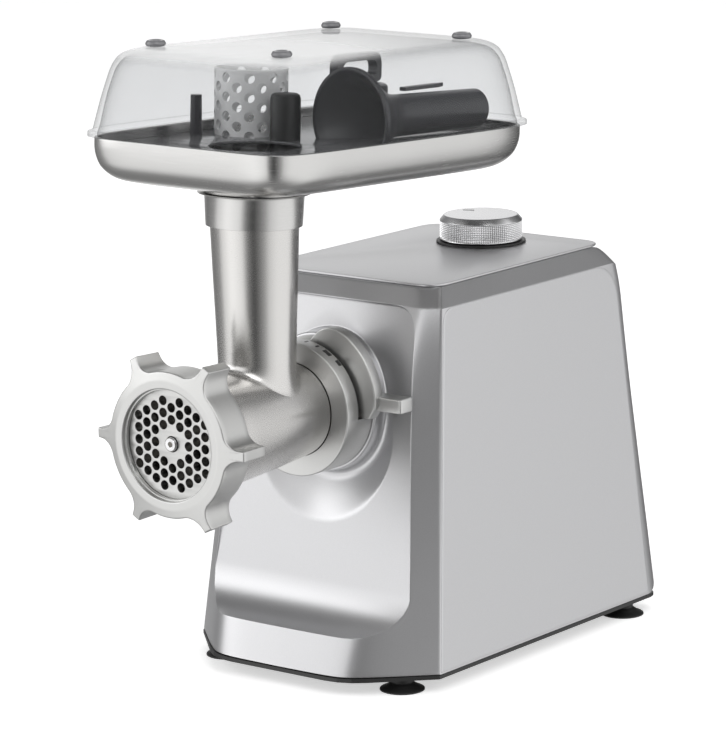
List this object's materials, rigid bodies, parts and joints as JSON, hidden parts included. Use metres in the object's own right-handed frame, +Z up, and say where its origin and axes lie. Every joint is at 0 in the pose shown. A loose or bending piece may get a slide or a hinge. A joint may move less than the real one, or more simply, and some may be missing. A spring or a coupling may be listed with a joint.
{
  "type": "electric meat grinder",
  "caption": "Free-standing electric meat grinder: leaning silver housing, pull-off grinding head with lugged ring nut, and a metal tray under a clear lid.",
  "frame": {"origin": "middle of the object's box, on the surface the feet stand on", "axes": "+Z up, -Y the front with the grinding head, +X the right seen from the front"},
  "size_m": [0.166, 0.3332, 0.345],
  "materials": {
    "silver_paint": "satin metallic with a fine grain",
    "stainless": "brushed",
    "cast_metal": "satin cast",
    "machined_steel": "fine turned",
    "black_plastic": "matt",
    "grey_plastic": "soft gloss",
    "white_plastic": "soft gloss",
    "foot_rubber": "matt",
    "clear_plastic": "clear",
    "copper_wire": "enamelled",
    "brass_bush": "turned",
    "board_green": "coated"
  },
  "bodies": {
    "housing": {"housing_shell": "silver_paint", "side_panel_left": "silver_paint", "side_panel_right": "silver_paint", "top_panel": "silver_paint", "rear_cover": "grey_plastic", "mains_inlet": "black_plastic", "base_plate": "black_plastic", "foot_front_left": "foot_rubber", "foot_front_right": "foot_rubber", "foot_rear_left": "foot_rubber", "foot_rear_right": "foot_rubber", "knob_bezel": "black_plastic", "rotary_switch": "black_plastic", "gearbox_case": "cast_metal", "gearbox_cover": "cast_metal", "spindle_bush_front": "brass_bush", "spindle_bush_rear": "brass_bush", "intermediate_axle": "machined_steel", "motor_stator": "machined_steel", "motor_frame_front": "cast_metal", "motor_frame_rear": "cast_metal", "brush_left": "black_plastic", "brush_right": "black_plastic", "circuit_board": "board_green", "capacitor": "black_plastic", "socket_collar": "cast_metal"},
    "knob": {"speed_knob": "machined_steel", "knob_shaft": "brass_bush"},
    "lever": {"lock_lever": "cast_metal"},
    "rotor": {"motor_core": "copper_wire", "motor_shaft": "machined_steel", "commutator": "copper_wire", "cooling_fan": "black_plastic", "motor_pinion": "machined_steel"},
    "middle_gear": {"intermediate_gear": "white_plastic", "intermediate_pinion": "machined_steel"},
    "output": {"output_gear": "machined_steel", "output_spindle": "machined_steel"},
    "head": {"head_casting": "stainless", "perforated_plate": "machined_steel"},
    "screw": {"auger": "cast_metal", "cutting_knife": "machined_steel"},
    "nut": {"ring_nut": "cast_metal"},
    "tray": {"tray": "stainless", "tray_neck": "stainless", "grater_drum": "white_plastic", "drum_hub": "black_plastic", "stay_post": "grey_plastic", "stuffing_horn": "grey_plastic", "food_pusher": "grey_plastic", "pusher_handle": "grey_plastic", "flat_key": "grey_plastic"},
    "lid": {"lid": "clear_plastic", "lid_pad_front_left": "grey_plastic", "lid_pad_front_right": "grey_plastic", "lid_pad_rear_left": "grey_plastic", "lid_pad_rear_right": "grey_plastic"}
  },
  "joints": [
    {"name": "knob_turn", "type": "hinge", "parent": "housing", "child": "knob", "pos_m": [0, 0.1078, 0.212], "axis": [0, 0, 1], "range_deg": [-45, 90]},
    {"name": "lever_turn", "type": "hinge", "parent": "housing", "child": "lever", "pos_m": [0, -0.05, 0.1464], "axis": [0, -1, 0], "range_deg": [0, 40]},
    {"name": "rotor_spin", "type": "hinge", "parent": "housing", "child": "rotor", "pos_m": [0, 0.07, 0.0744], "axis": [0, -1, 0], "continuous": true},
    {"name": "middle_gear_spin", "type": "hinge", "parent": "housing", "child": "middle_gear", "pos_m": [0, 0.02, 0.1044], "axis": [0, -1, 0], "continuous": true},
    {"name": "output_spin", "type": "hinge", "parent": "housing", "child": "output", "pos_m": [0, 0, 0.1464], "axis": [0, -1, 0], "continuous": true},
    {"name": "head_pull", "type": "slide", "parent": "housing", "child": "head", "axis": [0, -1, 0], "range_m": [0, 0.075]},
    {"name": "screw_spin", "type": "hinge", "parent": "head", "child": "screw", "pos_m": [0, -0.1, 0.1464], "axis": [0, -1, 0], "continuous": true},
    {"name": "nut_turn", "type": "hinge", "parent": "head", "child": "nut", "pos_m": [0, -0.155, 0.1464], "axis": [0, -1, 0], "range_deg": [0, 360]},
    {"name": "tray_lift", "type": "slide", "parent": "head", "child": "tray", "axis": [0, 0, 1], "range_m": [0, 0.06]},
    {"name": "lid_lift", "type": "slide", "parent": "tray", "child": "lid", "axis": [0, 0, 1], "range_m": [0, 0.07]}
  ],
  "couplings": [
    {"joint": "middle_gear_spin", "follows": "rotor_spin", "ratio": -0.33333},
    {"joint": "output_spin", "follows": "rotor_spin", "ratio": 0.11111},
    {"joint": "screw_spin", "follows": "rotor_spin", "ratio": 0.11111}
  ]
}
